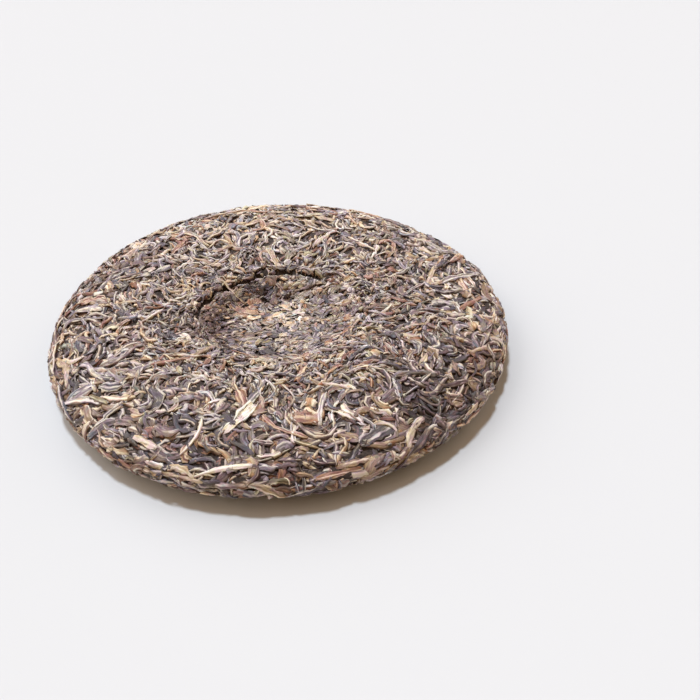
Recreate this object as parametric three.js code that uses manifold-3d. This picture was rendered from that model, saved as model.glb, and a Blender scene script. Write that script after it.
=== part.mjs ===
// A pressed cake of raw pu erh tea, lying with its dimpled back face up, in millimetres, +Z up.
// The origin is the centre of the cake's outline, on the surface that it rests on.
// One solid: a disc-shaped core with the largest leaves fused on, half sunk as the press left them.
import * as THREE from 'three';
import { mergeVertices } from 'three/addons/utils/BufferGeometryUtils.js';
import Module from 'manifold-3d';

// Driving dimensions of the cake
const CAKE_DIAMETER = 200;
const CROWN_HEIGHT = 21.5; // the thickest ring of the back face, above the table
const CROWN_RADIUS = 50;
const EDGE_THICKNESS = 11;
const EDGE_LIFT = 4.6; // the domed front face lifts the edge off the table
const EDGE_TURN = THREE.MathUtils.degToRad(64); // where the round edge meets the back face's slope
const EDGE_TUCK = THREE.MathUtils.degToRad(80); // and the front face's dome, below
const REST_RADIUS = 28; // the flat spot that the dome stands on
const DIMPLE_RADIUS = 35;
const DIMPLE_DEPTH = 10.5;
const LIP_DROP = 1.2; // the dimple's lip below the crown
const DIMPLE_SHIFT = new THREE.Vector2(0.9, -5); // the dimple lies nearer the front than the cake's middle
const DIMPLE_STRETCH = new THREE.Vector2(1.04, 0.9); // and is wider than it is long
const SHIFT_RADIUS = 80; // beyond this the cake is round again
const FLOOR_SHIFT = new THREE.Vector2(-3, 1.5); // the dimple's floor lies towards its back left

// How far the cross-section's curves run on before they bend, in mm or as a share of the radius
const FLOOR_SHARE = 0.62; // the level floor's part of the dimple's radius
const FLOOR_RISE = 0.8;
const FLOOR_RUN = 5;
const WALL_RUN = 6;
const WALL_RISE = 1.6;
const LIP_RUN = 5;
const CROWN_RUN = 6;
const SLOPE_RUN = 18;
const EDGE_RUN = 12;
const TUCK_RUN = 22;

// The cake isn't a true circle: waves round the rim, size in mm, where the first wave peaks in degrees
const OUTLINE_WAVES = [
  { waves: 2, size: 0.5, peak: -49 },
  { waves: 3, size: 0.8, peak: -5 },
  { waves: 4, size: 0.3, peak: 16 },
];

// Leaves
const LEAF_COUNT = 172;
const LEAF_LENGTH = [17, 42];
const LEAF_WIDTH = [5, 8]; // where it enters the core
const LEAF_RISE = 1.3; // its back above the core
const LEAF_SINK = 1.5; // its edges below the core's surface
const LEAF_BEND = 0.03; // the most that a leaf turns, in radians for each mm
const LEAF_TIP = 0.7; // the first station's place, as a share of the stations' spacing
const LEAF_BACK = 0.6; // the width of its back, as a share of its width
const LONG_LEAF = 27; // from this length on a leaf bends in the middle
const LEAF_STRAY = 5; // how far a leaf lies from its place in the even spread
const RIM_ORDER = 0.75; // how much less freely the leaves turn at the edge, where they follow it
const GOLDEN_ANGLE = Math.PI * (3 - Math.sqrt(5));

// The core
const CORE_SINK = 0.9; // its surface lies this far below the cross-section's
const CORE_SECTORS = 40;
const CORE_CRAG = 0.5; // how far a point of its rough surface moves, in or out
const RINGS_IN_STRETCH = [2, 3, 1, 4, 5, 5, 1]; // floor, wall, crown, slope, edge, dome and rest

const edgeRadius = EDGE_THICKNESS / 2;
const edgeCentre = new THREE.Vector2(CAKE_DIAMETER / 2 - edgeRadius, EDGE_LIFT + edgeRadius);

// A seeded random number from 0 to 1
function randomFrom(seed) {
  let state = seed;
  return () => {
    state = (state + 0x6d2b79f5) | 0;
    let t = Math.imul(state ^ (state >>> 15), 1 | state);
    t = (t + Math.imul(t ^ (t >>> 7), 61 | t)) ^ t;
    return ((t ^ (t >>> 14)) >>> 0) / 4294967296;
  };
}

function pointOnEdge(angle) {
  return new THREE.Vector2(Math.cos(angle), Math.sin(angle)).multiplyScalar(edgeRadius).add(edgeCentre);
}

// Half of the cake's cross-section: dimple, crown, slope, round edge and domed front face
function crossSection() {
  const floor = CROWN_HEIGHT - DIMPLE_DEPTH;
  const lip = CROWN_HEIGHT - LIP_DROP;
  const top = pointOnEdge(EDGE_TURN);
  const below = pointOnEdge(-EDGE_TUCK);
  const slope = new THREE.Vector2(-Math.sin(EDGE_TURN), Math.cos(EDGE_TURN)).multiplyScalar(EDGE_RUN);
  const tuck = new THREE.Vector2(-Math.sin(EDGE_TUCK), -Math.cos(EDGE_TUCK)).multiplyScalar(TUCK_RUN);
  slope.add(top);
  tuck.add(below);
  const level = FLOOR_SHARE * DIMPLE_RADIUS;
  const path = new THREE.Path();
  path.moveTo(0, floor);
  path.bezierCurveTo(level / 2, floor, level - FLOOR_RUN, floor, level, floor + FLOOR_RISE);
  path.bezierCurveTo(
    level + FLOOR_RUN, floor + 2 * FLOOR_RISE,
    DIMPLE_RADIUS - WALL_RUN, lip - WALL_RISE,
    DIMPLE_RADIUS, lip);
  path.bezierCurveTo(
    DIMPLE_RADIUS + LIP_RUN, CROWN_HEIGHT,
    CROWN_RADIUS - CROWN_RUN, CROWN_HEIGHT,
    CROWN_RADIUS, CROWN_HEIGHT);
  path.bezierCurveTo(CROWN_RADIUS + SLOPE_RUN, CROWN_HEIGHT, slope.x, slope.y, top.x, top.y);
  path.absarc(edgeCentre.x, edgeCentre.y, edgeRadius, EDGE_TURN, -EDGE_TUCK, true);
  path.bezierCurveTo(tuck.x, tuck.y, REST_RADIUS + TUCK_RUN, 0, REST_RADIUS, 0);
  path.lineTo(0, 0);
  return path;
}

const section = crossSection();
const sectionLength = section.getLength();
const faceReach = sectionLength / 2;

// Pushes a point of the round form to the real, slightly uneven one
function asPressed(point) {
  const angle = Math.atan2(point.y, point.x);
  const reach = Math.hypot(point.x, point.y);
  let swell = 0;
  for (const { waves, size, peak } of OUTLINE_WAVES) {
    swell += size * Math.cos(waves * (angle - THREE.MathUtils.degToRad(peak)));
  }
  const scale = 1 + swell * reach / (CAKE_DIAMETER / 2) ** 2;
  const onBackFace = point.z > CROWN_HEIGHT / 3 ? 1 : 0;
  const share = onBackFace * (1 - THREE.MathUtils.smoothstep(reach, DIMPLE_RADIUS, SHIFT_RADIUS));
  const floorShare = onBackFace
    * (1 - THREE.MathUtils.smoothstep(reach, FLOOR_SHARE * DIMPLE_RADIUS, DIMPLE_RADIUS));
  const moved = new THREE.Vector2(point.x, point.y).multiplyScalar(scale);
  const dimple = moved.clone().multiply(DIMPLE_STRETCH).add(DIMPLE_SHIFT);
  moved.lerp(dimple, share).addScaledVector(FLOOR_SHIFT, floorShare);
  return new THREE.Vector3(moved.x, moved.y, point.z);
}

// The point of the cake's surface at this distance along the cross-section, turned to this angle
function surfacePoint(along, angle) {
  const p = section.getPointAt(THREE.MathUtils.clamp(along / sectionLength, 0, 1));
  return asPressed(new THREE.Vector3(p.x * Math.cos(angle), p.x * Math.sin(angle), p.y));
}

// A face of the cake unrolled flat: the surface at (u, v), raised by a height along its normal.
// The back face is unrolled round the dimple's centre, and the front face round the rest.
function raisedPoint(face, u, v, height) {
  const step = edgeRadius / 12;
  const at = (du, dv) => {
    const along = Math.hypot(u + du, v + dv);
    return surfacePoint(face === 'back' ? along : sectionLength - along, Math.atan2(v + dv, u + du));
  };
  const alongU = at(step, 0).sub(at(-step, 0));
  const alongV = at(0, step).sub(at(0, -step));
  const outward = alongU.cross(alongV).normalize();
  if (face === 'front') outward.negate();
  return at(0, 0).addScaledVector(outward, height);
}

// A closed skin over rings of points, which narrow to one point at each end
function skinOver(start, rings, end) {
  const sides = rings[0].length;
  const points = [start, ...rings.flat(), end];
  const last = points.length - 1;
  const index = [];
  for (let side = 0; side < sides; side++) {
    const next = (side + 1) % sides;
    index.push(0, 1 + side, 1 + next);
    for (let ring = 0; ring < rings.length - 1; ring++) {
      const here = 1 + ring * sides;
      const there = here + sides;
      index.push(here + side, there + side, here + next);
      index.push(here + next, there + side, there + next);
    }
    index.push(last, last - sides + next, last - sides + side);
  }
  return new THREE.BufferGeometry().setFromPoints(points).setIndex(index);
}

// One pressed leaf: a bent strip with sloping sides, whose back stands up and whose belly is sunk
function leafGeometry(face, u, v, heading, length, width, bend, random) {
  const centreAt = (t) => {
    const mean = heading + bend * t / 2;
    return [u + t * Math.cos(mean), v + t * Math.sin(mean)];
  };
  const rings = [];
  const rise = () => LEAF_RISE * (0.6 + 0.6 * random());
  const stations = length < LONG_LEAF ? 2 : 3;
  for (let i = 0; i < stations; i++) {
    const t = ((i + LEAF_TIP) / (stations - 1 + 2 * LEAF_TIP) - 0.5) * length;
    const [cu, cv] = centreAt(t);
    const turned = heading + bend * t;
    const half = width / 2 * (0.8 + 0.35 * random());
    const at = (side, height) => raisedPoint(
      face, cu - side * Math.sin(turned), cv + side * Math.cos(turned), height - CORE_SINK);
    const back = half * LEAF_BACK;
    const across = [at(half, -LEAF_SINK), at(back, rise()), at(-back, rise()), at(-half, -LEAF_SINK)];
    rings.push(face === 'back' ? across.reverse() : across);
  }
  const tip = (t) => raisedPoint(face, ...centreAt(t), -CORE_SINK - LEAF_SINK / 2);
  return skinOver(tip(-length / 2), rings, tip(length / 2));
}

// Where the core's rings lie along the cross-section, closest together round the edge
function ringPlaces() {
  const places = [];
  let start = 0;
  section.curves.forEach((curve, stretch) => {
    const count = RINGS_IN_STRETCH[stretch];
    for (let ring = 1; ring <= count; ring++) places.push(start + ring / count * curve.getLength());
    start += curve.getLength();
  });
  return places.slice(0, -1);
}

// The core: the cross-section turned round its axis, sunk below the leaves and roughened
function coreGeometry(random) {
  const rings = [];
  for (const along of ringPlaces()) {
    const face = along < faceReach ? 'back' : 'front';
    const reach = Math.min(along, sectionLength - along);
    const points = [];
    for (let sector = 0; sector < CORE_SECTORS; sector++) {
      const angle = (sector + (rings.length % 2) / 2) / CORE_SECTORS * 2 * Math.PI;
      const crag = (random() * 2 - 1) * CORE_CRAG;
      points.push(raisedPoint(face, reach * Math.cos(angle), reach * Math.sin(angle), crag - CORE_SINK));
    }
    rings.push(points);
  }
  return skinOver(raisedPoint('back', 0, 0, -CORE_SINK), rings, raisedPoint('front', 0, 0, -CORE_SINK));
}

const wasm = await Module();
wasm.setup();

// A closed geometry as a solid that can be joined and cut
function solidFrom(geometry) {
  const bare = geometry.clone();
  bare.deleteAttribute('normal');
  bare.deleteAttribute('uv');
  const merged = mergeVertices(bare);
  return new wasm.Manifold(new wasm.Mesh({
    numProp: 3,
    vertProperties: merged.attributes.position.array,
    triVerts: new Uint32Array(merged.index.array),
  }));
}

function geometryFrom(solid) {
  const mesh = solid.getMesh();
  return new THREE.BufferGeometry()
    .setAttribute('position', new THREE.BufferAttribute(new Float32Array(mesh.vertProperties), 3))
    .setIndex(new THREE.BufferAttribute(new Uint32Array(mesh.triVerts), 1));
}

// The core with its leaves, spread evenly over both faces. Near the edge they lie along the rim.
function pressedCake() {
  const random = randomFrom(357);
  const between = ([low, high], share) => low + (high - low) * share;
  let cake = solidFrom(coreGeometry(random));
  for (let i = 0; i < LEAF_COUNT; i++) {
    const outward = Math.sqrt((i + 0.5) / LEAF_COUNT);
    const angle = i * GOLDEN_ANGLE;
    const size = random() ** 1.5;
    const length = between(LEAF_LENGTH, size);
    const width = between(LEAF_WIDTH, 0.6 * size + 0.4 * random());
    const turn = (random() - 0.5) * Math.PI * (1 - RIM_ORDER * outward ** 4);
    const heading = angle + Math.PI / 2 + turn;
    const bend = outward / faceReach + (random() * 2 - 1) * LEAF_BEND;
    const stray = () => (random() - 0.5) * 2 * LEAF_STRAY;
    const u = outward * faceReach * Math.cos(angle) + stray();
    const v = outward * faceReach * Math.sin(angle) + stray();
    const leaf = leafGeometry(i % 2 ? 'front' : 'back', u, v, heading, length, width, bend, random);
    cake = cake.add(solidFrom(leaf));
  }
  return cake;
}

// Cuts what hangs below the rest off level, so that the cake stands on a flat spot
function levelled(cake) {
  const table = new THREE.BoxGeometry(2 * CAKE_DIAMETER, 2 * CAKE_DIAMETER, CROWN_HEIGHT);
  table.translate(0, 0, -CROWN_HEIGHT / 2);
  return cake.subtract(solidFrom(table));
}

// Moves the cake sideways until the origin is in the middle of its outline
function centred(geometry) {
  geometry.computeBoundingBox();
  const middle = geometry.boundingBox.getCenter(new THREE.Vector3());
  return geometry.translate(-middle.x, -middle.y, 0);
}

const teaCake = new THREE.Mesh(
  centred(geometryFrom(levelled(pressedCake()))),
  new THREE.MeshStandardMaterial({ color: 0x5a4a3f, roughness: 0.85, metalness: 0 }));
teaCake.name = 'tea_cake';

const group = new THREE.Group();
group.add(teaCake);

export default group;
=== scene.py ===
"""A pressed cake of raw pu erh tea, dressed with its leaves one by one.

The cake's two faces are unrolled flat. Leaves are laid on each in random order, so that every leaf rests on
the ones below it, and the heap is then pressed level and wrapped round the cake's cross-section.
Lengths are in millimetres until the pieces are made, and in metres from there on.
"""
import math
from typing import NamedTuple

import bmesh
import bpy
import numpy as np
from mathutils import Matrix, Vector


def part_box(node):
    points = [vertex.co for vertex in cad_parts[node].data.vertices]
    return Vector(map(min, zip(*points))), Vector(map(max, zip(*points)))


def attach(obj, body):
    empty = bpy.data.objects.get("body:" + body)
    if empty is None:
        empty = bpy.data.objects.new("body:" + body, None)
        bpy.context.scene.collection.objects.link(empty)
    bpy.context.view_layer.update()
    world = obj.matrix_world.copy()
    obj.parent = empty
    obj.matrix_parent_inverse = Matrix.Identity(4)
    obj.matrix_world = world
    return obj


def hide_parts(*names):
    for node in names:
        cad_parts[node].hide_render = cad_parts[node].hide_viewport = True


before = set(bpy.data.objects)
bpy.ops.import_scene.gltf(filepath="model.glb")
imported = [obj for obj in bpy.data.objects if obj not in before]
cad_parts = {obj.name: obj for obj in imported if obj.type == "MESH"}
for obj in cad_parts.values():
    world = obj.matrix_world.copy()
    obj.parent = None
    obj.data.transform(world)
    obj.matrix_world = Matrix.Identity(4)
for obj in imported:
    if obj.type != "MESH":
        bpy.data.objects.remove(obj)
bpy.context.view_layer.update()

bl_info = {
    "name": "Pressed tea cake",
    "version": (1, 0, 0),
    "blender": (4, 5, 0),
    "location": "View3D > Sidebar > Tea cake",
    "description": "Makes a pressed cake of tea leaves, its stage, light and camera",
    "category": "Add Mesh",
}

BODY = "root"
NODE = "tea_cake"
CAKE_LOW, CAKE_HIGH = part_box(NODE)
CAKE_ACROSS = (CAKE_HIGH.x - CAKE_LOW.x + CAKE_HIGH.y - CAKE_LOW.y) / 2
MM = 0.001

# How far the cross-section's curves run on before they bend, in millimetres
FLOOR_RUN = 5.0
WALL_RUN = 6.0
LIP_RUN = 5.0
CROWN_RUN = 6.0
SLOPE_RUN = 18.0
EDGE_RUN = 12.0
TUCK_RUN = 22.0

FLOOR_SHARE = 0.62  # the dimple's flat floor, as a share of its radius
FLOOR_RISE = 0.8  # how far the floor has risen where the wall starts, in millimetres
WALL_RISE = 1.6
EDGE_TURN = math.radians(64)  # how far the round edge runs up from its middle
EDGE_TUCK = math.radians(80)  # how far it runs down
LEAF_RISE = 0.6  # how far the highest leaves rise above the crown, in millimetres


class Wave(NamedTuple):
    """Waves round the cake: how many, how high, and where one of them peaks, in degrees."""
    count: int
    height: float
    peak: float


# The cake's uneven form, in millimetres, with the dimple's stretch as a factor
OUTLINE_WAVES = (Wave(2, 0.5, -49), Wave(3, 0.8, -5), Wave(4, 0.3, 16))
OUTLINE_MIDDLE = Vector((0.75, 0.0))  # the waved outline's, which comes to lie at the origin
DIMPLE_SHIFT = Vector((0.9, -5.0))
DIMPLE_STRETCH = Vector((1.04, 0.90))
SHIFT_RADIUS = 80.0  # where the dimple's shift and stretch have faded out
FLOOR_SHIFT = Vector((-3.0, 1.5))
LIP_WAVES = (Wave(5, 0.7, 10), Wave(11, 0.5, 3), Wave(19, 0.35, 7))

# How far open the crevice under the lip is, as a share, and how that changes along it
CREVICE_OPEN = 0.7
CREVICE_WAVES = (Wave(1, 0.35, 125), Wave(7, 0.2, 20), Wave(17, 0.25, 0), Wave(29, 0.15, 5))


class Ledge(NamedTuple):
    """A step down just inside the dimple's lip, with a crevice at its foot, part of the way round."""
    start: float  # degrees round the dimple
    finish: float
    soften: float
    step: float  # how far it steps down, in millimetres
    run: float  # how far in from the lip its foot is
    fade: float  # how far it takes to come up again
    width: float  # half the width of the crevice


class Crack(NamedTuple):
    """A crack in the back face: its ends on the unrolled face and half its width, in millimetres."""
    start: tuple
    finish: tuple
    width: float
    sway: float  # how far it sways from side to side
    soften: float  # the stretch over which each end closes


LEDGE = Ledge(start=62, finish=250, soften=36, step=1.3, run=0.8, fade=8.0, width=0.58)
CRACK = Crack(start=(33, 9), finish=(56, 10), width=0.45, sway=0.5, soften=5)
SLIT_DEPTH = 2.0


class Shape(NamedTuple):
    """One shape of leaf. Lengths are in millimetres, and each pair of them is the least and the most."""
    share: float  # of all the leaves
    rings: int  # rows of points along it
    profile: tuple  # its back between its edges: places as shares of half its width and of its thickness
    length: tuple
    width: tuple
    thickness: tuple
    taper: tuple  # the part of its length over which an end narrows
    end: tuple  # the width left at an end, as a share of its width
    bend: float  # how far it turns from end to end, in radians
    twist: float  # how high its edges rise and fall as it twists
    reach: float  # how far up the list of kinds, from dark to pale, its leaves come from


OPEN_BACK = ((-0.80, 0.8), (-0.45, 0.5), (-0.05, 0.9), (0.30, 0.45), (0.60, 0.6), (0.86, 0.9))
ROLLED_BACK = ((-0.74, 0.8), (-0.28, 0.65), (0.30, 1.0), (0.70, 0.55))
FOLDED_BACK = ((-0.60, 0.6), (-0.10, 1.0), (0.42, 0.5), (0.74, 0.7))
STALK_BACK = ((-0.6, 0.9), (0, 1.0), (0.6, 0.9))
BROKEN_BACK = ((-0.66, 0.9), (-0.1, 0.45), (0.50, 0.85))
FLAKE_BACK = ((-0.8, 0.8), (-0.3, 1.0), (0.3, 0.75), (0.8, 0.9))
CRUMB_BACK = ((-0.4, 1.0), (0.4, 0.8))

SHAPES = {
    "broad_leaf": Shape(
        0.04, 9, OPEN_BACK, (6, 14), (2.8, 4.6), (0.8, 1.4), (0.15, 0.4), (0.3, 0.8), 0.5, 0.80, 0.72),
    "open_leaf": Shape(
        0.09, 9, OPEN_BACK, (7, 17), (1.8, 3.2), (0.8, 1.4), (0.10, 0.4), (0.2, 0.8), 0.45, 0.60, 0.90),
    "rolled_leaf": Shape(
        0.27, 9, ROLLED_BACK, (7, 22), (1.1, 2.3), (1.0, 1.7), (0.10, 0.4), (0.2, 0.7), 0.45, 0.50, 1.0),
    "folded_leaf": Shape(
        0.25, 7, FOLDED_BACK, (4, 14), (0.8, 1.8), (0.9, 1.5), (0.10, 0.4), (0.2, 0.7), 0.45, 0.45, 1.0),
    "stalk": Shape(
        0.03, 7, STALK_BACK, (8, 22), (0.6, 1.0), (0.7, 1.0), (0.04, 0.15), (0.5, 0.9), 0.5, 0.05, 1.0),
    "broken_leaf": Shape(
        0.22, 5, BROKEN_BACK, (3, 8), (0.8, 2.3), (0.7, 1.3), (0.10, 0.4), (0.3, 0.9), 0.55, 0.55, 1.0),
    "flake": Shape(
        0.03, 5, FLAKE_BACK, (4, 9), (2.4, 4.6), (0.7, 1.1), (0.10, 0.4), (0.4, 0.9), 0.3, 0.40, 0.90),
    "crumb": Shape(
        0.10, 4, CRUMB_BACK, (1.2, 3.5), (0.5, 1.2), (0.5, 1.0), (0.10, 0.40), (0.3, 0.8), 0.6, 0.30, 1.0),
}


class Kind(NamedTuple):
    """One kind of tea leaf: how common it is, its colours from shaded to light, and how rough it is."""
    share: float
    dark: tuple
    mid: tuple
    light: tuple
    roughness: float


KINDS = {
    "black_leaves": Kind(0.20, (0.048, 0.039, 0.037), (0.140, 0.120, 0.128), (0.655, 0.602, 0.539), 0.40),
    "dark_leaves": Kind(0.20, (0.060, 0.042, 0.038), (0.244, 0.177, 0.166), (0.753, 0.664, 0.553), 0.44),
    "russet_leaves": Kind(0.06, (0.096, 0.045, 0.033), (0.372, 0.206, 0.150), (0.800, 0.638, 0.490), 0.50),
    "grey_leaves": Kind(0.18, (0.080, 0.064, 0.062), (0.316, 0.270, 0.277), (0.833, 0.784, 0.713), 0.48),
    "olive_leaves": Kind(0.06, (0.074, 0.059, 0.036), (0.312, 0.271, 0.196), (0.778, 0.726, 0.559), 0.50),
    "brown_leaves": Kind(0.13, (0.094, 0.057, 0.040), (0.370, 0.263, 0.195), (0.838, 0.731, 0.574), 0.50),
    "tan_leaves": Kind(0.10, (0.140, 0.091, 0.060), (0.538, 0.414, 0.304), (0.940, 0.862, 0.707), 0.55),
    "pale_tips": Kind(0.07, (0.250, 0.184, 0.134), (0.740, 0.638, 0.534), (0.965, 0.954, 0.855), 0.60),
}
SPECULAR = 0.3

# Stains within a leaf: their places on the scale of the noise, and what they let through of each colour
STAINS = (
    (0.34, (0.68, 0.86, 0.97)),
    (0.43, (0.97, 0.80, 0.97)),
    (0.50, (0.97, 0.95, 0.95)),
    (0.57, (0.97, 0.98, 0.78)),
    (0.66, (1.00, 0.72, 0.52)),
)


class Patch(NamedTuple):
    """A place on the unrolled back face where many leaves are of one kind, or lighter or darker."""
    place: tuple
    radius: float
    kind: str
    share: float
    tone: float


PATCHES = (
    Patch((3, 3), 20, "grey_leaves", 0.15, 0.45),
    Patch((6, 13), 7, "pale_tips", 0.35, 0.60),
    Patch((-11, 15), 6, "russet_leaves", 0.80, 0.90),
    # Painted shade on the dimple's left wall, which faces away from the light
    Patch((-28, 0), 12, "dark_leaves", 0.60, -1.10),
    # Painted shade just inside the dimple's near lip
    Patch((-10, -22), 9, "grey_leaves", 0.20, -0.40),
    # Painted shade on the dimple's back wall, under the lip
    Patch((-6, 28), 8, "black_leaves", 0.30, -0.70),
    # Painted highlight: lighter round the dimple's near lip
    Patch((0, -45), 24, "tan_leaves", 0.05, 0.50),
    # Painted shade on the front of the edge, which turns under away from the light: the next four
    Patch((60, -74), 24, "dark_leaves", 0.45, -1.50),
    Patch((86, -46), 18, "dark_leaves", 0.30, -0.80),
    Patch((0, -98), 20, "dark_leaves", 0.25, -0.80),
    Patch((-45, -84), 20, "black_leaves", 0.25, -0.70),
    Patch((0, 80), 45, "grey_leaves", 0.10, 0.45),
)


class Landmark(NamedTuple):
    """A leaf that stands out: its kind, its shape, its ends on the unrolled back face and its width."""
    kind: str
    shape: str
    start: tuple
    finish: tuple
    width: float
    turn: float = 0.0  # how far it bends from end to end, in degrees
    tone: float = 0.7


LANDMARKS = (
    Landmark("pale_tips", "open_leaf", (-25, -79), (-12, -66), 4.2, 25),
    Landmark("pale_tips", "rolled_leaf", (-59, -74), (-50, -81), 2.6),
    Landmark("pale_tips", "rolled_leaf", (-36, -95), (-14, -94), 2.0, -20),
    Landmark("tan_leaves", "rolled_leaf", (-49, -91), (-33, -98), 1.8),
    Landmark("russet_leaves", "open_leaf", (9, -102), (28, -99), 3.0),
    Landmark("brown_leaves", "rolled_leaf", (17, -98), (31, -95), 2.0),
    Landmark("black_leaves", "open_leaf", (27, -90), (41, -80), 6.0, 0, -0.2),
    Landmark("pale_tips", "folded_leaf", (33, -80), (44, -84), 1.5, -110),
    Landmark("tan_leaves", "broken_leaf", (56, -51), (61, -43), 2.6),
    Landmark("tan_leaves", "rolled_leaf", (78, -43), (88, -37), 2.6),
    Landmark("pale_tips", "folded_leaf", (91, -30), (99, -35), 1.8, -120),
    Landmark("tan_leaves", "rolled_leaf", (67, 2), (78, 25), 2.8),
    Landmark("tan_leaves", "rolled_leaf", (38, 58), (50, 41), 2.2, 15),
    Landmark("russet_leaves", "rolled_leaf", (81, -13), (93, -3), 2.4),
    Landmark("grey_leaves", "open_leaf", (76, 8), (101, 20), 3.2),
    Landmark("dark_leaves", "rolled_leaf", (60, 75), (71, 68), 3.4, 0, 0.2),
    Landmark("tan_leaves", "rolled_leaf", (-28, 34), (-12, 19), 1.8, 20),
    Landmark("tan_leaves", "open_leaf", (1, 40), (-3, 56), 3.6),
    Landmark("black_leaves", "rolled_leaf", (-101, 6), (-77, 0), 2.0, 30, 0.5),
    Landmark("tan_leaves", "rolled_leaf", (79, -68), (70, -78), 1.8),
    Landmark("pale_tips", "folded_leaf", (-41, -86), (-31, -71), 1.5, 60),
    Landmark("pale_tips", "rolled_leaf", (-62, -4), (-51, 8), 1.8, 30),
    Landmark("pale_tips", "broken_leaf", (-45, -11), (-39, -18), 3.2),
    Landmark("russet_leaves", "folded_leaf", (-58, -36), (-37, -33), 1.7, 15),
    Landmark("tan_leaves", "folded_leaf", (-37, -32), (-25, -22), 1.8, -30),
    Landmark("pale_tips", "rolled_leaf", (14, -58), (26, -62), 2.0),
    Landmark("grey_leaves", "rolled_leaf", (16, -63), (12, -80), 2.6, 25, 0.7),
    Landmark("russet_leaves", "open_leaf", (-18, 17), (-7, 13), 4.0, 15, 1.5),
    Landmark("tan_leaves", "broken_leaf", (-12, 9), (-4, 10), 3.0, 0, 1.2),
    Landmark("pale_tips", "broken_leaf", (-2, 8), (4, 12), 3.6, 0, 1.2),
    Landmark("pale_tips", "broken_leaf", (3, 18), (8, 13), 3.4, 0, 1.2),
    Landmark("pale_tips", "broken_leaf", (9, 12), (14, 8), 3.0, 0, 1.0),
)

YIELD = 0.3  # how softly leaves give way where they rest on the table, in millimetres
LEVEL = -0.30  # the height of the leaves' backs against the cross-section, in millimetres
FOLD_SPREAD = 0.35  # how much the folds of a leaf differ in height
FOLD_LIMITS = (0.3, 1.6)
FOLD_STRAY = 0.12  # how far folds lie aside, as a share of half the leaf's width
CRUMPLE = 0.28
CREST = 0.8  # points of a profile at least this high are crests

# The tone that the material reads: what all leaves have, what a leaf's own tone adds, the painted highlight
# that the crests of its folds add, and the painted shade that the gaps take away
BASE_TONE = -0.225
LEAF_TONE = 0.18
CREST_HIGHLIGHT = 0.75
GAP_SHADE = 0.15
DIMPLE_HIGHLIGHT_CUT = 0.5  # how much weaker the painted highlight on the crests is in the dimple

GRAIN_ASIDE, GRAIN_ALONG = 40, 90  # how far apart in the noise leaves of different tone lie, in millimetres
STREAK_SCALE = (1.4, 0.22, 1)  # across and along a leaf, for each millimetre
STAIN_SCALE = (0.30, 0.12, 1)
STREAKS = 1.45  # how much the streaks change the tone
STAIN_FADE = (-0.8, 1.42)  # stains are weaker on lighter leaf: slope and start of their strength
RAMP_START = 0.25
RAMP_MIDDLE = 0.65


def smooth(share):
    """Runs from 0 to 1 with a level start and finish."""
    share = np.clip(share, 0, 1)
    return share * share * (3 - 2 * share)


def between(low_high, share):
    """The value this share of the way from the low one to the high one."""
    low, high = low_high
    return low + (high - low) * share


def uneven(random, spread, size, limits=(0.5, 1.5)):
    """Random factors that spread about 1, within limits."""
    return np.clip(1 + spread * random.normal(size=size), *limits)


def polar(spots):
    """How far out points lie, and their bearings."""
    return np.hypot(spots[..., 0], spots[..., 1]), np.arctan2(spots[..., 1], spots[..., 0])


def ripple(waves, bearing):
    """The height of these waves at a bearing."""
    return sum(wave.height * np.cos(wave.count * (bearing - math.radians(wave.peak))) for wave in waves)


def cake():
    return bpy.context.scene.tea_cake


def heap():
    return bpy.context.scene.tea_leaves


def length_setting(name, description, default, least, most):
    return bpy.props.FloatProperty(
        name=name, description=description, default=default, min=least, max=most, unit="LENGTH")


def count_setting(name, description, default, least=0, most=20000):
    return bpy.props.IntProperty(name=name, description=description, default=default, min=least, max=most)


def color_setting(name, description, default):
    return bpy.props.FloatVectorProperty(
        name=name, description=description, default=default, size=3, min=0.0, max=1.0, subtype="COLOR")


class TeaCakeForm(bpy.types.PropertyGroup):
    """The pressed cake's size and form."""
    diameter: length_setting("Diameter", "Across the whole cake", CAKE_ACROSS, 0.05, 0.4)
    crown_height: length_setting(
        "Crown height", "The thickest ring of the back face, above the table",
        CAKE_HIGH.z - LEAF_RISE * MM, 0.01, 0.05)
    crown_radius: length_setting(
        "Crown radius", "Where the back face starts to slope down to the edge", 50 * MM, 0.01, 0.1)
    edge_thickness: length_setting(
        "Edge thickness", "The round edge, from top to bottom", 11 * MM, 0.004, 0.03)
    edge_lift: length_setting(
        "Edge lift", "How far the domed front face lifts the edge off the table", 4.6 * MM, 0.0, 0.02)
    rest_radius: length_setting(
        "Rest radius", "The flat spot that the dome stands on", 28 * MM, 0.005, 0.08)
    dimple_radius: length_setting(
        "Dimple radius", "From the dimple's middle to its lip", 35 * MM, 0.01, 0.06)
    dimple_depth: length_setting(
        "Dimple depth", "From the crown down to the dimple's floor", 10.5 * MM, 0.0, 0.02)
    lip_drop: length_setting("Lip drop", "The dimple's lip below the crown", 1.2 * MM, 0.0, 0.01)


class TeaCakeLeaves(bpy.types.PropertyGroup):
    """How the leaves are laid and pressed."""
    seed: count_setting("Seed", "Starts the random draws", 357)
    back_count: count_setting(
        "Back leaves", "Leaves laid on the back face, most of which others cover", 14000, 100)
    front_count: count_setting(
        "Front leaves", "Leaves laid on the front face, most of which others cover", 7000, 100)
    relief: length_setting(
        "Relief", "How far leaves stand above the pressed surface", 0.8 * MM, 0.0001, 0.003)
    gap_depth: length_setting(
        "Gap depth", "The deepest gap between the leaves", 1.35 * MM, 0.0001, 0.005)


class TeaCakeColors(bpy.types.PropertyGroup):
    """The colour of each kind of leaf, between its shaded and its light parts."""
    __annotations__ = {
        name: color_setting(
            name.replace("_", " ").capitalize(), "Their colour between shaded and light", kind.mid)
        for name, kind in KINDS.items()
    }


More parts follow.
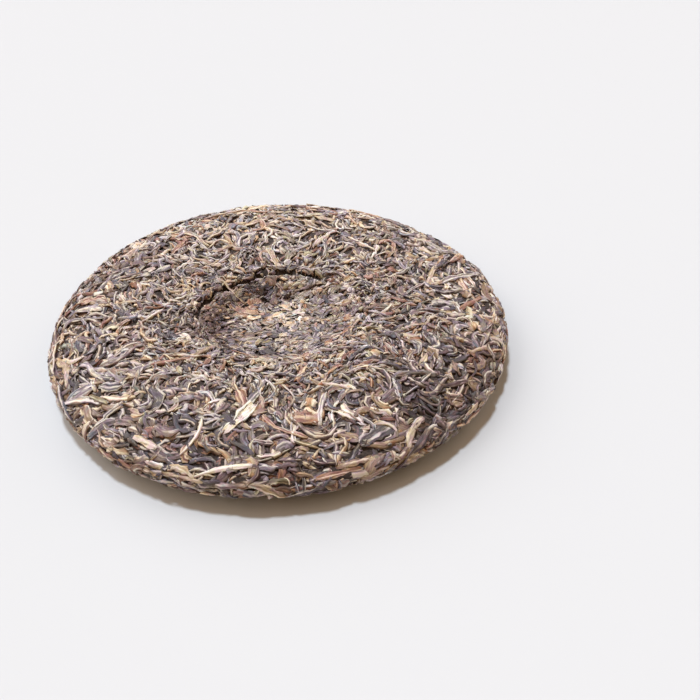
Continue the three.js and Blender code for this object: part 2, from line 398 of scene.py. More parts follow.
class TeaCakeStage(bpy.types.PropertyGroup):
    """The floor, the room and its light."""
    floor_color: color_setting("Floor", "The floor that the cake lies on", (0.630, 0.652, 0.668))
    backdrop_color: color_setting("Backdrop", "What shows behind the floor", (0.72, 0.73, 0.735))
    room_color: color_setting("Room", "The light that the room throws into the shadows", (1.0, 0.60, 0.28))
    room_strength: bpy.props.FloatProperty(
        name="Room strength", description="How strong the room's light is", default=0.33, min=0.0, max=2.0)


class Section:
    """Half of the cake's cross-section, from the middle of the dimple round the edge to the rest."""
    STEPS = 200

    def __init__(self, form):
        dimple, crown, rest = (form.dimple_radius / MM, form.crown_radius / MM, form.rest_radius / MM)
        top = form.crown_height / MM
        lip = top - form.lip_drop / MM
        floor = top - form.dimple_depth / MM
        flat = FLOOR_SHARE * dimple
        foot = (flat, floor + FLOOR_RISE)
        self.radius = form.diameter / MM / 2
        edge = form.edge_thickness / MM / 2
        middle = np.array((self.radius - edge, form.edge_lift / MM + edge))
        turn = np.array((math.cos(EDGE_TURN), math.sin(EDGE_TURN)))
        tuck = np.array((math.cos(EDGE_TUCK), -math.sin(EDGE_TUCK)))
        upper, lower = middle + edge * turn, middle + edge * tuck
        before = upper + EDGE_RUN * turn[::-1] * (-1, 1)
        after = lower + TUCK_RUN * tuck[::-1] * (1, -1)
        arc = np.linspace(EDGE_TURN, -EDGE_TUCK, self.STEPS)
        stretches = (
            self.bezier((0, floor), (flat / 2, floor), (flat - FLOOR_RUN, floor), foot),
            self.bezier(foot, (flat + FLOOR_RUN, floor + 2 * FLOOR_RISE),
                        (dimple - WALL_RUN, lip - WALL_RISE), (dimple, lip)),
            self.bezier((dimple, lip), (dimple + LIP_RUN, top), (crown - CROWN_RUN, top), (crown, top)),
            self.bezier((crown, top), (crown + SLOPE_RUN, top), before, upper),
            middle + edge * np.stack((np.cos(arc), np.sin(arc)), -1),
            self.bezier(lower, after, (rest + TUCK_RUN, 0), (rest, 0)),
            self.bezier((rest, 0), (rest / 2, 0), (rest / 2, 0), (0, 0)),
        )
        points = np.concatenate([stretch[:-1] for stretch in stretches] + [stretches[-1][-1:]])
        steps = np.hypot(*np.diff(points, axis=0).T)
        self.along = np.concatenate(((0,), np.cumsum(steps)))
        self.length = self.along[-1]
        self.face_reach = self.length / 2
        self.lip_reach = self.along[2 * (self.STEPS - 1)]
        self.points = points
        slopes = np.gradient(points, self.along, axis=0)
        self.normals = np.stack((-slopes[:, 1], slopes[:, 0]), -1)
        self.normals /= np.linalg.norm(self.normals, axis=1, keepdims=True)

    def bezier(self, *points):
        """A curve from the first point to the last, which the other two pull towards them."""
        t = np.linspace(0, 1, self.STEPS)[:, None]
        pulls = ((1 - t) ** 3, 3 * t * (1 - t) ** 2, 3 * t * t * (1 - t), t ** 3)
        return sum(pull * np.array(point, float) for pull, point in zip(pulls, points))

    def at(self, along):
        """The radius, height and outward normal at these distances along the cross-section."""
        along = np.clip(along, 0, self.length)
        values = (*self.points.T, *self.normals.T)
        return [np.interp(along, self.along, value) for value in values]

    def inward(self, uv):
        """How far inside the uneven lip points of the back face lie, and the ledge's share there."""
        reach, bearing = polar(uv)
        middle = math.radians(LEDGE.start + LEDGE.finish) / 2
        spread = math.radians(LEDGE.finish - LEDGE.start) / 2
        off = np.abs((bearing - middle + math.pi) % (2 * math.pi) - math.pi)
        share = 1 - smooth((off - spread) / math.radians(LEDGE.soften))
        return self.lip_reach + ripple(LIP_WAVES, bearing) - reach, share

    def slits(self, uv):
        """How deep points of the back face lie in the crevice or the crack, from 0 to 1."""
        inward, share = self.inward(uv)
        opened = np.clip(CREVICE_OPEN + ripple(CREVICE_WAVES, polar(uv)[1]), 0, 1)
        crevice = share * opened * np.exp(-((inward - LEDGE.run) / LEDGE.width) ** 2)
        start, course = np.array(CRACK.start), np.subtract(CRACK.finish, CRACK.start)
        length = np.linalg.norm(course)
        way = course / length
        along = (uv - start) @ way
        aside = (uv - start) @ (-way[1], way[0]) + CRACK.sway * np.sin(along)
        within = smooth(along / CRACK.soften) * smooth((length - along) / CRACK.soften)
        return np.maximum(crevice, within * np.exp(-(aside / CRACK.width) ** 2))

    def slump(self, uv):
        """How far the back face is let down by the ledge and the slits, in millimetres."""
        inward, share = self.inward(uv)
        step = smooth(inward / LEDGE.run) * (1 - smooth((inward - LEDGE.run) / LEDGE.fade))
        return LEDGE.step * share * step + SLIT_DEPTH * self.slits(uv)

    def place(self, face, uv, height):
        """Points of a face unrolled flat, raised by a height, as points of the cake in millimetres."""
        reach, bearing = polar(uv)
        if face == "back":
            height = height - self.slump(uv)
        along = reach if face == "back" else self.length - reach
        radius, level, out, up = self.at(along)
        radius = radius + out * height
        x, y = self.pressed(face, radius * np.cos(bearing), radius * np.sin(bearing))
        return np.stack((x, y, level + up * height), -1)

    def pressed(self, face, x, y):
        """Moves points of the round form sideways to the real, slightly uneven one."""
        bearing, reach = np.arctan2(y, x), np.hypot(x, y)
        scale = 1 + ripple(OUTLINE_WAVES, bearing) * reach / self.radius ** 2
        dimple = cake().dimple_radius / MM
        share, floor_share = 0, 0
        if face == "back":
            share = 1 - smooth((reach - dimple) / (SHIFT_RADIUS - dimple))
            floor_share = 1 - smooth((reach / dimple - FLOOR_SHARE) / (1 - FLOOR_SHARE))
        moved = []
        for axis, value in enumerate((x * scale, y * scale)):
            value = value * (1 + (DIMPLE_STRETCH[axis] - 1) * share) + DIMPLE_SHIFT[axis] * share
            moved.append(value + FLOOR_SHIFT[axis] * floor_share - OUTLINE_MIDDLE[axis])
        return moved


def blur(grid, radius):
    """Evens out a grid over this many cells each way, three times over."""
    for axis in (0, 1) * 3:
        edge = [(radius + 1, radius) if a == axis else (0, 0) for a in (0, 1)]
        total = np.cumsum(np.pad(grid, edge, mode="edge"), axis=axis, dtype=np.float64)
        span = 2 * radius + 1
        high = np.take(total, range(span, total.shape[axis]), axis=axis)
        low = np.take(total, range(total.shape[axis] - span), axis=axis)
        grid = (high - low) / span
    return grid


class Bed:
    """One face of the cake unrolled flat, with the height of the leaves laid on it so far."""
    CELL = 0.3  # in millimetres, like the rest
    MARGIN = 8.0  # how far leaves are laid past the face's edge
    PRESS_SPAN = 4.5  # the span over which the heap is pressed level
    LEAST_COVERED = 0.05
    SMOOTHED = 0.6  # how much flatter the heap is pressed in the dimple
    SMOOTHED_OVER = 7.0  # how far in from the lip it is fully so

    def __init__(self, face, section):
        self.face = face
        self.section = section
        self.reach = section.face_reach
        self.half = self.reach + 3 * self.MARGIN
        self.count = int(2 * self.half / self.CELL) + 1
        self.height = np.zeros(self.count ** 2, np.float32)
        self.owner = np.full(self.count ** 2, -1, np.int32)
        self.mean = None

    def cells(self, uv):
        """The numbers of the cells that hold these points."""
        index = np.clip(((uv + self.half) / self.CELL).astype(np.int32), 0, self.count - 1)
        return index[..., 0] * self.count + index[..., 1]

    def press(self):
        """Finds the level that the heap is pressed to, which follows its height over a few millimetres."""
        centre = (np.arange(self.count) + 0.5) * self.CELL - self.half
        inside = np.hypot(*np.meshgrid(centre, centre, indexing="ij")) < self.reach + self.MARGIN
        grid = self.height.reshape(self.count, self.count) * inside
        radius = int(self.PRESS_SPAN / self.CELL / 2)
        covered = np.maximum(blur(inside.astype(float), radius), self.LEAST_COVERED)
        self.mean = (blur(grid, radius) / covered).ravel().astype(np.float32)

    def relief(self, uv, height):
        """How far points of the heap stand above or below the pressed surface."""
        raw = height - self.mean[self.cells(uv)]
        top, gap = heap().relief / MM, heap().gap_depth / MM
        above = top * np.log1p(np.maximum(raw, 0) / top)
        below = gap * (1 - np.exp(np.minimum(raw, 0) / gap))
        return (above - below) * (1 - self.SMOOTHED * self.inside(uv))

    def inside(self, uv):
        """How far inside the dimple points are: 0 at the lip and 1 well within it."""
        return smooth(self.section.inward(uv)[0] / self.SMOOTHED_OVER) if self.face == "back" else 0


class Leaf(NamedTuple):
    """One leaf as it lies: for each ring its place, way across, half width, height, tilt and thickness."""
    path: np.ndarray
    across: np.ndarray
    half: np.ndarray
    level: np.ndarray
    tilt: np.ndarray
    thickness: np.ndarray
    tone: float
    number: int


class Swell:
    """A value that changes slowly over a face, from about -1 to 1: waves of several lengths, added up."""
    WAVES = 6

    def __init__(self, random, shortest, longest):
        bearing = random.random(self.WAVES) * 2 * math.pi
        number = 2 * math.pi / random.uniform(shortest, longest, self.WAVES)
        self.waves = np.stack((np.cos(bearing) * number, np.sin(bearing) * number))
        self.phase = random.random(self.WAVES) * 2 * math.pi

    def __call__(self, spots):
        return np.sin(spots @ self.waves + self.phase).sum(-1) / math.sqrt(2 * self.WAVES) * 2


def round_middle(spots):
    """The way that leaves lie round the cake's edge or the dimple's lip."""
    return polar(spots)[1] + math.pi / 2


class Arc:
    """The way that a landmark leaf lies: it turns evenly from end to end."""

    def __init__(self, landmark):
        self.start = np.array(landmark.start, float)
        chord = np.subtract(landmark.finish, landmark.start)
        self.length = np.linalg.norm(chord)
        self.towards = chord / self.length
        self.turn = math.radians(landmark.turn)

    def __call__(self, spots):
        return self.turn * ((spots - self.start) @ self.towards / self.length - 0.5)


def smoother(count):
    """Evens out values along a leaf, which can't follow every bump below it."""
    matrix = np.eye(count) * 0.5
    for i in range(count):
        matrix[i, max(i - 1, 0)] += 0.25
        matrix[i, min(i + 1, count - 1)] += 0.25
    return matrix @ matrix


def spread_between(count, finer):
    """Takes values at a leaf's rings to points closer together along it."""
    places = np.linspace(0, count - 1, finer)
    low = np.minimum(places.astype(int), count - 2)
    share = places - low
    matrix = np.zeros((finer, count))
    matrix[np.arange(finer), low] = 1 - share
    matrix[np.arange(finer), low + 1] = share
    return matrix


class Layer:
    """Lays leaves on a bed, each on top of what lies there."""
    DRIFTS = (24, 75)  # the lengths of the curved drifts that leaves lie in, in millimetres
    SWING = 1.2
    PATCHES = (7, 24)  # the lengths of the lighter and darker patches, in millimetres
    PATCH_KIND = 0.06  # how much more often their leaves are of a lighter or darker kind
    PATCH_TONE = 0.15
    LAST_RANK = 0.999  # the palest leaf's place in the list of kinds

    # How a leaf bends
    WAVES = (0.8, 1.6)  # how many waves it has from end to end
    WAVINESS = 0.4
    WIGGLE = 0.10
    HOOKED = 0.05  # the part of the leaves that have a hook at one end
    HOOK_FROM = 0.15  # how far from its middle the hook starts, as a share of its length
    HOOK_TURN = (0.6, 2.0)
    KINKED = 0.35  # the part that have a kink, which can be anywhere near the middle
    KINK_PLACE = (-0.3, 0.3)
    KINK_TURN = 0.7

    # How it lies on the leaves below
    SUPPORTS = np.array((-0.8, -0.3, 0.3, 0.8))  # where it rests, as shares of half its width
    SUPPORT_SPAN = 1.1  # from the middle of the left pair to that of the right pair
    LEAST_SPAN = 0.3
    MOST_TILT = 0.6
    TWISTS = (0.5, 2.0)  # how many times it twists to and fro
    TUCK = 1.3  # how far an end can dive between other leaves, in millimetres
    END_THICKNESS = 0.4  # the thickness left where it narrows to nothing
    RAGGED = 0.2
    ROUNDED = 0.7  # how round its ends are: 1 is pointed, and less is rounder
    ARCH = 0.85  # the part of a leaf's width that its back covers
    POINTS_A_CELL = 1.3

    # Where leaves lie, and how large they are there
    EDGE_ORDER = 0.85  # the part of the leaves at the edge that lie along it
    EDGE_GROWS = 8  # how suddenly that part grows towards the edge
    LIP_ORDER = 0.6  # the same at the dimple's lip
    LIP_REACH = 3.5  # how near the lip counts as at it, in millimetres
    STRAY = 0.5  # how far leaves stray from their drift
    ORDERED_STRAY = 0.3
    BRIDGING = 0.008  # the part of the leaves in the way of a slit that bridge it
    SHORTENED = (1, 0.7, 0.5, 0.35, 0.25)  # the lengths that the others try in turn
    STEPS_BETWEEN = np.linspace(0, 1, 5)[:-1, None]
    IN_SLIT = 0.4  # a slit counts where it is at least this deep
    MIDDLE_LEAF = {"back": (0.70, 0.85), "front": (1.0, 1.3)}  # length and width against the usual ones
    EDGE_LEAF = (1.15, 1.60)  # the same at the edge
    DIMPLE_LEAF = (0.75, 1.15)  # how long and how wide leaves in the dimple are against those round it
    DIMPLE_FLAKES = 210
    EDGE_FROM, EDGE_TO = 50, 88  # where leaves grow from the one size to the other, in millimetres out
    SHORTER = 1.4  # how common short leaves are: 1 is as common as long ones, and more is more
    CROWDED = 0.56  # how leaves crowd towards the middle: 0.5 is evenly, and more is more
    OVERLAP = 0.5  # how far past the face's edge leaves are kept, in millimetres
    LEAST_SHOWN = 9  # cells of a leaf that have to show for it to be kept

    def __init__(self, bed, random):
        self.bed = bed
        self.random = random
        self.swell = Swell(random, *self.DRIFTS)
        self.shade = Swell(random, *self.PATCHES)
        self.laid = {name: {kind: [] for kind in KINDS} for name in SHAPES}
        self.total = 0
        self.smoothers = {shape.rings: smoother(shape.rings) for shape in SHAPES.values()}
        self.finer = {}

    def draw(self, low_high):
        return between(low_high, self.random.random())

    def drift(self, spots):
        """The way that leaves lie over the face, in curved drifts."""
        return self.SWING * self.swell(spots)

    def course(self, shape, at, heading, length, way, stray=1.0):
        """The places of a leaf's rings and its direction at each: it bends with its way, and on its own."""
        random = self.random
        t = np.linspace(-0.5, 0.5, shape.rings)
        straight = at + (t * length)[:, None] * (math.cos(heading), math.sin(heading))
        turn = way(straight) - way(at)
        angle = heading + (turn + math.pi) % (2 * math.pi) - math.pi
        wave = np.sin(2 * math.pi * (t * self.draw(self.WAVES) + random.random()))
        angle += stray * shape.bend * (random.normal() * t + self.WAVINESS * random.normal() * wave)
        angle += stray * self.WIGGLE * random.normal(size=t.size)
        if random.random() < self.HOOKED * stray:
            hook = np.clip(t - self.HOOK_FROM, 0, 1) / (0.5 - self.HOOK_FROM)
            angle += hook * random.choice((-1, 1)) * self.draw(self.HOOK_TURN)
        if random.random() < self.KINKED * stray:
            angle += (t > self.draw(self.KINK_PLACE)) * random.normal() * self.KINK_TURN
        towards = np.stack((np.cos(angle), np.sin(angle)), -1)
        path = np.cumsum(towards, axis=0) * length / (shape.rings - 1)
        return path + at - path.mean(axis=0), towards

    def fit(self, shape, at, heading, length, way):
        """A course clear of the slits: a leaf in their way is turned and shortened, or else left out."""
        for share in self.SHORTENED:
            course = self.course(shape, at, heading, share * length, way)
            free = self.bed.face == "front" or self.random.random() < self.BRIDGING
            if free or not self.crosses_slit(course[0]):
                return course
            heading += self.random.normal()
        return None

    def crosses_slit(self, path):
        """Whether a leaf's middle line runs through a slit of the back face."""
        steps = path[:-1, None] + (path[1:, None] - path[:-1, None]) * self.STEPS_BETWEEN
        return self.bed.section.slits(steps.reshape(-1, 2)).max() > self.IN_SLIT

    def lay(self, shape, course, width, tone):
        """Lays one leaf of a shape along its course, and returns it."""
        random, bed = self.random, self.bed
        t = np.linspace(0, 1, shape.rings)
        path, towards = course
        across = np.stack((-towards[:, 1], towards[:, 0]), -1)
        half = self.outline(shape, t, width)
        spots = path[:, None] + across[:, None] * (half[:, None] * self.SUPPORTS)[..., None]
        under = bed.height[bed.cells(spots)]
        left, right = under[:, :2].max(axis=1), under[:, 2:].max(axis=1)
        even = self.smoothers[shape.rings]
        level = even @ ((left + right) / 2)
        for last_quarter in (1 - t * 4, t * 4 - 3):
            level -= random.random() * self.TUCK * np.clip(last_quarter, 0, 1) ** 2
        span = np.maximum(half, self.LEAST_SPAN)
        twist = shape.twist * np.sin(2 * math.pi * (t * self.draw(self.TWISTS) + random.random()))
        tilt = even @ ((right - left) / (self.SUPPORT_SPAN * span)) + twist / span
        tilt = np.clip(tilt, -self.MOST_TILT, self.MOST_TILT)
        thin = self.END_THICKNESS
        thickness = self.draw(shape.thickness) * (thin + (1 - thin) * half / half.max())
        leaf = Leaf(path, across, half, level, tilt, thickness, tone, self.total)
        self.cover(leaf)
        self.total += 1
        return leaf

    def outline(self, shape, t, width):
        """Half the leaf's width along it: it narrows to each end, and is a little ragged."""
        tapers = (self.draw(shape.taper), self.draw(shape.taper))
        ends = (self.draw(shape.end), self.draw(shape.end))
        narrowed = 1
        for from_end, taper, end in zip((t, 1 - t), tapers, ends):
            narrowed = narrowed * (end + (1 - end) * np.clip(from_end / taper, 0, 1) ** self.ROUNDED)
        return width / 2 * narrowed * uneven(self.random, self.RAGGED, t.size)

    def cover(self, leaf):
        """Raises the bed where the leaf lies on it."""
        bed, rings = self.bed, leaf.half.size
        length = np.linalg.norm(np.diff(leaf.path, axis=0), axis=1).sum()
        along = max(4, int(length / bed.CELL * self.POINTS_A_CELL))
        key = (rings, along)
        if key not in self.finer:
            self.finer[key] = spread_between(rings, along)
        finer = self.finer[key]
        path, across, half = finer @ leaf.path, finer @ leaf.across, finer @ leaf.half
        count = max(3, int(2 * half.max() / bed.CELL * self.POINTS_A_CELL))
        s = np.linspace(-self.ARCH, self.ARCH, count)
        spots = path[:, None] + across[:, None] * (half[:, None] * s)[..., None]
        lift = (finer @ leaf.level)[:, None] + (finer @ (leaf.tilt * leaf.half))[:, None] * s
        back = lift + (finer @ leaf.thickness)[:, None] * (1 - s ** 4)
        cells, back = bed.cells(spots).ravel(), back.ravel()
        higher = back > bed.height[cells]
        bed.height[cells[higher]] = back[higher]
        bed.owner[cells[higher]] = leaf.number

    def pick_kinds(self, places, reaches):
        """Draws a kind and a tone for the leaf at each place, no paler a kind than it reaches."""
        random, names = self.random, list(KINDS)
        shade = self.shade(places)
        odds = np.cumsum([kind.share for kind in KINDS.values()])
        rank = np.clip(random.random(len(places)) + self.PATCH_KIND * shade, 0, self.LAST_RANK)
        kinds = np.searchsorted(odds / odds[-1], rank * reaches)
        tones = random.random(len(places)) + self.PATCH_TONE * shade
        for patch in PATCHES if self.bed.face == "back" else ():
            away = np.linalg.norm(places - np.array(patch.place), axis=1)
            near = np.exp(-(away / patch.radius) ** 2)
            kinds[random.random(len(places)) < patch.share * near] = names.index(patch.kind)
            tones += patch.tone * near
        return [names[kind] for kind in kinds], tones

    def growth(self, out, in_dimple):
        """How much longer and wider than usual leaves are this far out."""
        share = smooth((out - self.EDGE_FROM) / (self.EDGE_TO - self.EDGE_FROM))
        grown = [between(sizes, share) for sizes in zip(self.MIDDLE_LEAF[self.bed.face], self.EDGE_LEAF)]
        return [size * less for size, less in zip(grown, self.DIMPLE_LEAF)] if in_dimple else grown

    def scatter(self, count, reach, shape_names):
        """Lays leaves of these shapes over a face out to a reach, in random order."""
        random = self.random
        back = self.bed.face == "back"
        odds = np.array([SHAPES[name].share for name in shape_names])
        shapes = random.choice(shape_names, count, p=odds / odds.sum())
        out = reach * random.random(count) ** self.CROWDED
        bearing = random.random(count) * 2 * math.pi
        places = np.stack((out * np.cos(bearing), out * np.sin(bearing)), -1)
        inward = self.bed.section.inward(places)[0]
        kinds, tones = self.pick_kinds(places, np.array([SHAPES[name].reach for name in shapes]))
        edge_order = self.EDGE_ORDER * np.minimum(out / self.bed.reach, 1) ** self.EDGE_GROWS
        lip_order = self.LIP_ORDER * (np.abs(inward) < self.LIP_REACH) * back
        ordered = random.random(count) < np.maximum(edge_order, lip_order)
        for i, at in enumerate(places):
            shape = SHAPES[shapes[i]]
            way, stray = (round_middle, self.ORDERED_STRAY) if ordered[i] else (self.drift, self.STRAY)
            heading = way(at) + random.normal() * stray + random.integers(2) * math.pi
            size = random.random() ** self.SHORTER
            longer, wider = self.growth(out[i], back and inward[i] > 0)
            length = longer * between(shape.length, size)
            width = wider * between(shape.width, (size + random.random()) / 2)
            course = self.fit(shape, at, heading, length, way)
            if course is None:
                continue
            leaf = self.lay(shape, course, width, tones[i])
            if out[i] < self.bed.reach + self.OVERLAP:
                self.laid[shapes[i]][kinds[i]].append(leaf)

    def mark(self, landmark):
        """Lays a leaf that stands out in its place."""
        shape, way = SHAPES[landmark.shape], Arc(landmark)
        at = (np.array(landmark.start) + landmark.finish) / 2
        heading = math.atan2(way.towards[1], way.towards[0])
        course = self.course(shape, at, heading, way.length, way, stray=0)
        leaf = self.lay(shape, course, landmark.width, landmark.tone)
        self.laid[landmark.shape][landmark.kind].append(leaf)

    def fill(self, count):
        """Lays all the leaves of the face."""
        self.scatter(count, self.bed.reach + self.bed.MARGIN, list(SHAPES))
        if self.bed.face == "back":
            self.scatter(self.DIMPLE_FLAKES, self.bed.section.lip_reach, ["flake", "broad_leaf"])
            for landmark in LANDMARKS:
                self.mark(landmark)
        self.bed.press()
        self.cull()

    def cull(self):
        """Drops the leaves that others hide."""
        shown = np.bincount(self.bed.owner[self.bed.owner >= 0], minlength=self.total)
        for kinds in self.laid.values():
            for name, leaves in kinds.items():
                kinds[name] = [leaf for leaf in leaves if shown[leaf.number] >= self.LEAST_SHOWN]


def deselect():
    if bpy.context.object and bpy.context.object.mode != "OBJECT":
        bpy.ops.object.mode_set(mode="OBJECT")
    bpy.ops.object.select_all(action="DESELECT")


def select_points(piece, wanted):
    """In edit mode, selects the points of a piece whose place passes a test, and what joins them."""
    bpy.ops.mesh.select_mode(type="VERT")
    bpy.ops.mesh.select_all(action="DESELECT")
    mesh = bmesh.from_edit_mesh(piece.data)
    for point in mesh.verts:
        point.select = wanted(point.co)
    mesh.select_flush_mode()
    bmesh.update_edit_mesh(piece.data)


def finish_editing():
    """Turns all faces outwards and leaves edit mode."""
    bpy.ops.mesh.select_all(action="SELECT")
    bpy.ops.mesh.normals_make_consistent(inside=False)
    bpy.ops.object.mode_set(mode="OBJECT")


class Master(NamedTuple):
    """A leaf shape modelled once. Each point has a share across and up, a row and a column."""
    across: np.ndarray
    up: np.ndarray
    row: np.ndarray
    column: np.ndarray
    corners: np.ndarray  # the points of its faces, one face after another
    sizes: np.ndarray  # how many each face has
    sheet: np.ndarray  # where each corner lies when the leaf is unfolded into a square


SHEET_MAP = "OFBake"  # the name of the map in which each leaf has a square of its own

# The parts of a leaf's square in that map that hold its back and its underside
BACK_PART = (0.03, 0.60)
UNDER_PART = (0.66, 0.97)
ALONG_PART = (0.04, 0.96)


def model_master(name, shape):
    """Models a leaf at unit size: a strip along Y, its profile across it, closed below and at its ends."""
    deselect()
    profile = ((-1, 0), *shape.profile, (1, 0))
    columns = len(profile)
    touching = 0.01
    bpy.ops.mesh.primitive_grid_add(x_subdivisions=columns - 1, y_subdivisions=shape.rings - 1, size=2)
    piece = bpy.context.object
    piece.name = name
    bpy.ops.object.mode_set(mode="EDIT")
    for column, (across, up) in enumerate(shape.profile, 1):
        x = 2 * column / (columns - 1) - 1
        select_points(piece, lambda place: abs(place.x - x) < touching and place.z < touching)
        bpy.ops.transform.translate(value=(across - x, 0, up))
    select_points(piece, lambda place: place.z < touching)
    bpy.ops.mesh.select_mode(type="EDGE")
    bpy.ops.mesh.bridge_edge_loops()
    bpy.ops.mesh.select_all(action="DESELECT")
    bpy.ops.mesh.select_non_manifold()
    bpy.ops.mesh.fill_holes(sides=0)
    finish_editing()
    faces = piece.data.polygons
    points = np.array([vertex.co for vertex in piece.data.vertices])
    row = np.round((points[:, 1] + 1) / 2 * (shape.rings - 1)).astype(int)
    places = np.array([across for across, up in profile])
    column = np.abs(points[:, :1] - places).argmin(axis=1)
    corners = np.concatenate([tuple(face.vertices) for face in faces])
    sizes = np.array([len(face.vertices) for face in faces])
    under = np.repeat([face.normal.z < -0.5 for face in faces], sizes)
    low, high = np.where(under[:, None], UNDER_PART, BACK_PART).T
    side = low + (high - low) * column[corners] / (columns - 1)
    sheet = np.stack((side, np.interp(row[corners], (0, shape.rings - 1), ALONG_PART)), -1)
    bpy.data.objects.remove(piece)
    return Master(points[:, 0], points[:, 2], row, column, corners, sizes, sheet)


class Growth:
    """Collects the copies of the masters that one piece is joined from."""

    def __init__(self):
        self.parts = []
        self.points = 0
        self.leaves = 0

    def add(self, master, places, tone, across, along):
        """Adds copies: places are their points in millimetres, and the rest goes to the material."""
        copies, count = places.shape[:2]
        starts = self.points + np.arange(copies)[:, None] * count
        numbers = np.repeat(self.leaves + np.arange(copies), len(master.sheet))
        self.parts.append((
            places.reshape(-1, 3) * MM,
            (starts + master.corners).ravel(),
            np.tile(master.sizes, copies),
            tone.ravel(),
            np.stack((across, along), -1).reshape(-1, 2),
            np.tile(master.sheet, (copies, 1)),
            numbers,
        ))
        self.points += copies * count
        self.leaves += copies

    def join(self, name):
        """Makes one object of all the copies. In its sheet map each leaf has a square of its own."""
        points, corners, sizes, tones, grain, sheets, numbers = map(np.concatenate, zip(*self.parts))
        mesh = bpy.data.meshes.new(name)
        mesh.vertices.add(len(points))
        mesh.loops.add(len(corners))
        mesh.polygons.add(len(sizes))
        mesh.vertices.foreach_set("co", points.ravel())
        mesh.polygons.foreach_set("loop_start", np.cumsum(sizes) - sizes)
        mesh.polygons.foreach_set("vertices", corners)
        mesh.update(calc_edges=True)
        mesh.shade_smooth()
        mesh.attributes.new("tone", "FLOAT", "POINT").data.foreach_set("value", tones)
        mesh.uv_layers.new(name="Grain").data.foreach_set("uv", grain[corners].ravel())
        across = math.ceil(math.sqrt(self.leaves))
        squares = np.stack((numbers % across, numbers // across), -1)
        mesh.uv_layers.new(name=SHEET_MAP).data.foreach_set("uv", ((sheets + squares) / across).ravel())
        piece = bpy.data.objects.new(name, mesh)
        bpy.context.scene.collection.objects.link(piece)
        return piece


def wrap(layer, shape_name, kind_name, master, growth, random):
    """Copies a master along each leaf of one shape and kind, and wraps the copies round the cake."""
    leaves = layer.laid[shape_name][kind_name]
    if not leaves:
        return
    path, across, half, level, tilt, thickness = (
        np.stack([leaf[i] for leaf in leaves]) for i in range(6))
    row, column = master.row, master.column
    size = (len(leaves), column.max() + 1)
    inner = np.abs(master.across) < 0.99
    folds = uneven(random, FOLD_SPREAD, size, FOLD_LIMITS)[:, column]
    stray = (FOLD_STRAY * random.normal(size=size))[:, column] * inner
    crumple = uneven(random, CRUMPLE, (len(leaves), inner.size))
    aside = (master.across + stray) * half[:, row] * np.where(inner, 1, crumple)
    uv = path[:, row] + across[:, row] * aside[..., None]
    height = level[:, row] + tilt[:, row] * aside + thickness[:, row] * master.up * folds * crumple
    bed = layer.bed
    relief = bed.relief(uv, height)
    places = bed.section.place(bed.face, uv, relief + LEVEL)
    places[..., 2] = YIELD * np.logaddexp(0, places[..., 2] / YIELD)
    own = np.array([leaf.tone for leaf in leaves])[:, None]
    # Painted highlight: paler on the crests of the folds, less so in the dimple
    crest_highlight = (random.random(size) ** 2)[:, column] * (master.up >= CREST) * crumple
    crest_highlight = crest_highlight * (1 - DIMPLE_HIGHLIGHT_CUT * bed.inside(uv))
    # Painted shade: darker where the leaf lies deep in a gap, and in the crevice and the crack
    deep = np.clip(-relief / (heap().gap_depth / MM), 0, 1)
    if bed.face == "back":
        deep += bed.section.slits(uv)
    tone = BASE_TONE + LEAF_TONE * own + CREST_HIGHLIGHT * crest_highlight - GAP_SHADE * deep
    steps = np.linalg.norm(np.diff(path, axis=1), axis=2)
    along = np.concatenate((np.zeros((len(leaves), 1)), np.cumsum(steps, axis=1)), axis=1)[:, row]
    growth.add(master, places, tone, aside + GRAIN_ASIDE * own, along + GRAIN_ALONG * own)


def feed(tree, node, inputs):
    """Sets each of these inputs of a node to a value, or links it to another node's output."""
    for name, value in inputs.items():
        if isinstance(value, bpy.types.NodeSocket):
            tree.links.new(value, node.inputs[name])
        else:
            node.inputs[name].default_value = value


def add_node(tree, kind, inputs, **settings):
    node = tree.nodes.new("ShaderNode" + kind)
    for name, value in settings.items():
        setattr(node, name, value)
    feed(tree, node, inputs)
    return node.outputs


def new_material(name):
    """A material with its nodes and its shader."""
    material = bpy.data.materials.new(name)
    material.use_nodes = True
    return material, material.node_tree, material.node_tree.nodes["Principled BSDF"]


def leaf_noise(tree, scale, detail):
    """Noise that follows each leaf."""
    grain = add_node(tree, "UVMap", {}, uv_map="Grain")["UV"]
    stretched = add_node(tree, "Mapping", {"Vector": grain, "Scale": scale})["Vector"]
    inputs = {"Vector": stretched, "Scale": 1.0, "Detail": detail, "Roughness": 0.65}
    return add_node(tree, "TexNoise", inputs)["Fac"]


def multiply_add(tree, value, factor, addend, clamped=False):
    inputs = {0: value, 1: factor, 2: addend}
    return add_node(tree, "Math", inputs, operation="MULTIPLY_ADD", use_clamp=clamped)["Value"]


def color_ramp(tree, value, stops):
    """Turns a value into a colour by a ramp through these, each at its place from 0 to 1."""
    outputs = add_node(tree, "ValToRGB", {"Fac": value})
    elements = outputs["Color"].node.color_ramp.elements
    for _ in stops[2:]:
        elements.new(0.5)
    for element, (place, color) in zip(elements, stops):
        element.position = place
        element.color = (*color, 1)
    return outputs["Color"]


def bumps(tree, height, strength, distance):
    return add_node(tree, "Bump", {"Height": height, "Strength": strength, "Distance": distance})["Normal"]


